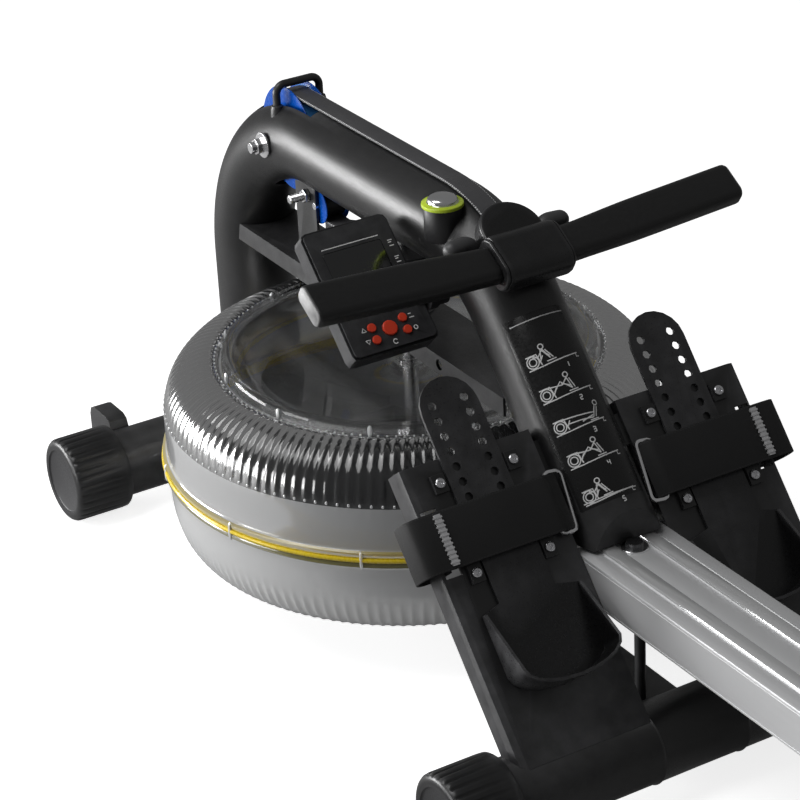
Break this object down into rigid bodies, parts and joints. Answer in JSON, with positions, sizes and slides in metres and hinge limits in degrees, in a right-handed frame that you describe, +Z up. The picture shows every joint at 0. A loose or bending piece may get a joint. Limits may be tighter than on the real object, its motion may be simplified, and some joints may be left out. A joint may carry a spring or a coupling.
{
  "type": "water rowing machine",
  "caption": "Rowing machine with a round clear water tank, bent main tube, belt handle, console, foot rests and a seat rolling on a long rail.",
  "frame": {"origin": "bottom centre of the bounding box, on the floor", "axes": "+X to the rower's right, +Y forward to the tank end, +Z up"},
  "size_m": [0.542, 1.995, 0.5],
  "materials": {
    "frame_paint": "satin grey black powder coat",
    "cap_plastic": "ribbed black plastic",
    "foot_rubber": "black rubber",
    "pulley_plastic": "bright blue",
    "bright_steel": "polished",
    "belt_webbing": "woven, glossy where doubled",
    "clear_plastic": "clear polycarbonate",
    "pale_plastic": "pale translucent grey",
    "gasket_rubber": "yellow",
    "impeller_plastic": "moulded",
    "rail_aluminium": "satin anodised, two polished tracks",
    "plate_paint": "satin black",
    "footbed_plastic": "moulded, smooth",
    "console_plastic": "fine grain",
    "screen": "dark display window",
    "button_red": "soft red",
    "handle_black": "smooth",
    "grip_foam": "soft black grip",
    "plug_lime": "lime ring with a chrome dome",
    "seat_skin": "moulded foam skin",
    "roller_plastic": "hard rollers on a steel axle"
  },
  "bodies": {
    "frame": {"main_tube": "frame_paint", "front_crossbar": "frame_paint", "rear_crossbar": "frame_paint", "lower_beam": "frame_paint", "upper_beam": "frame_paint", "wheel_arm_left": "frame_paint", "wheel_arm_right": "frame_paint", "belt_guard": "frame_paint", "idler_bracket": "frame_paint", "handle_hook_left": "frame_paint", "handle_hook_right": "frame_paint", "rear_leg": "frame_paint", "cap_front_left": "cap_plastic", "cap_front_right": "cap_plastic", "cap_rear_left": "cap_plastic", "cap_rear_right": "cap_plastic", "rail_end_cap": "cap_plastic", "bearing_lower": "cap_plastic", "rear_foot_left": "foot_rubber", "rear_foot_right": "foot_rubber", "pulley_bolt": "bright_steel", "idler_pin": "bright_steel", "strap_ring_left": "bright_steel", "strap_ring_right": "bright_steel", "bearing_upper": "bright_steel", "belt": "belt_webbing", "strap_left": "belt_webbing", "strap_right": "belt_webbing", "tank_upper": "clear_plastic", "tank_lid": "clear_plastic", "tank_lower": "pale_plastic", "tank_gasket": "gasket_rubber", "rail": "rail_aluminium", "foot_plate_left": "plate_paint", "foot_plate_right": "plate_paint", "console_arm": "console_plastic", "elbow_plug": "plug_lime"},
    "transport_wheel_left": {"transport_wheel_left": "foot_rubber"},
    "transport_wheel_right": {"transport_wheel_right": "foot_rubber"},
    "pulley": {"top_pulley": "pulley_plastic"},
    "idler": {"idler_pulley": "pulley_plastic"},
    "rotor": {"drive_shaft": "bright_steel", "impeller": "impeller_plastic"},
    "drum": {"drive_drum": "impeller_plastic"},
    "handle": {"handle_hub": "handle_black", "handle_grip_left": "grip_foam", "handle_grip_right": "grip_foam"},
    "seat": {"seat_cushion": "seat_skin", "seat_carriage": "frame_paint"},
    "seat_wheels_front": {"wheelset_front": "roller_plastic"},
    "seat_wheels_rear": {"wheelset_rear": "roller_plastic"},
    "console": {"console_body": "console_plastic", "console_screen": "screen"},
    "footbed_left": {"footbed_left": "footbed_plastic"},
    "footbed_right": {"footbed_right": "footbed_plastic"},
    "button_centre": {"button_centre": "button_red"},
    "button_upper_left": {"button_upper_left": "button_red"},
    "button_lower_left": {"button_lower_left": "button_red"},
    "button_upper_right": {"button_upper_right": "button_red"},
    "button_lower_right": {"button_lower_right": "button_red"}
  },
  "joints": [
    {"name": "transport_wheel_left_spin", "type": "hinge", "parent": "frame", "child": "transport_wheel_left", "pos_m": [-0.165, 0.9755, 0.032], "axis": [1, 0, 0], "continuous": true},
    {"name": "transport_wheel_right_spin", "type": "hinge", "parent": "frame", "child": "transport_wheel_right", "pos_m": [0.165, 0.9755, 0.032], "axis": [1, 0, 0], "continuous": true},
    {"name": "handle_pull", "type": "slide", "parent": "frame", "child": "handle", "axis": [0, -1, 0], "range_m": [0, 1.1]},
    {"name": "pulley_spin", "type": "hinge", "parent": "frame", "child": "pulley", "pos_m": [0, 0.7955, 0.4335], "axis": [1, 0, 0], "continuous": true},
    {"name": "idler_spin", "type": "hinge", "parent": "frame", "child": "idler", "pos_m": [0, 0.7425, 0.373], "axis": [1, 0, 0], "continuous": true},
    {"name": "drum_spin", "type": "hinge", "parent": "frame", "child": "drum", "pos_m": [0, 0.5875, 0.362], "axis": [0, 0, 1], "continuous": true},
    {"name": "impeller_spin", "type": "hinge", "parent": "frame", "child": "rotor", "pos_m": [0, 0.5875, 0.1], "axis": [0, 0, 1], "continuous": true},
    {"name": "seat_roll", "type": "slide", "parent": "frame", "child": "seat", "axis": [0, 1, 0], "range_m": [-0.45, 0.4]},
    {"name": "seat_wheels_front_spin", "type": "hinge", "parent": "seat", "child": "seat_wheels_front", "pos_m": [0, -0.3315, 0.22895], "axis": [1, 0, 0], "continuous": true},
    {"name": "seat_wheels_rear_spin", "type": "hinge", "parent": "seat", "child": "seat_wheels_rear", "pos_m": [0, -0.4635, 0.22895], "axis": [1, 0, 0], "continuous": true},
    {"name": "console_tilt", "type": "hinge", "parent": "frame", "child": "console", "pos_m": [-0.09, 0.4575, 0.382], "axis": [1, 0, 0], "range_deg": [-15, 15]},
    {"name": "footbed_left_slide", "type": "slide", "parent": "frame", "child": "footbed_left", "axis": [0, -0.6547, -0.7559], "range_m": [-0.0152, 0.0456]},
    {"name": "footbed_right_slide", "type": "slide", "parent": "frame", "child": "footbed_right", "axis": [0, -0.6547, -0.7559], "range_m": [-0.0152, 0.0456]},
    {"name": "button_centre_press", "type": "slide", "parent": "console", "child": "button_centre", "axis": [0, 0.7071, -0.7071], "range_m": [0, 0.001], "stiffness_N_per_m": 800, "springref_m": -0.0006},
    {"name": "button_upper_left_press", "type": "slide", "parent": "console", "child": "button_upper_left", "axis": [0, 0.7071, -0.7071], "range_m": [0, 0.001], "stiffness_N_per_m": 800, "springref_m": -0.0006},
    {"name": "button_lower_left_press", "type": "slide", "parent": "console", "child": "button_lower_left", "axis": [0, 0.7071, -0.7071], "range_m": [0, 0.001], "stiffness_N_per_m": 800, "springref_m": -0.0006},
    {"name": "button_upper_right_press", "type": "slide", "parent": "console", "child": "button_upper_right", "axis": [0, 0.7071, -0.7071], "range_m": [0, 0.001], "stiffness_N_per_m": 800, "springref_m": -0.0006},
    {"name": "button_lower_right_press", "type": "slide", "parent": "console", "child": "button_lower_right", "axis": [0, 0.7071, -0.7071], "range_m": [0, 0.001], "stiffness_N_per_m": 800, "springref_m": -0.0006}
  ],
  "couplings": [
    {"joint": "pulley_spin", "follows": "handle_pull", "rad_per_m": 19.608},
    {"joint": "idler_spin", "follows": "handle_pull", "rad_per_m": 64.516},
    {"joint": "drum_spin", "follows": "handle_pull", "rad_per_m": 26.667},
    {"joint": "seat_wheels_front_spin", "follows": "seat_roll", "rad_per_m": -58.824},
    {"joint": "seat_wheels_rear_spin", "follows": "seat_roll", "rad_per_m": -58.824}
  ]
}
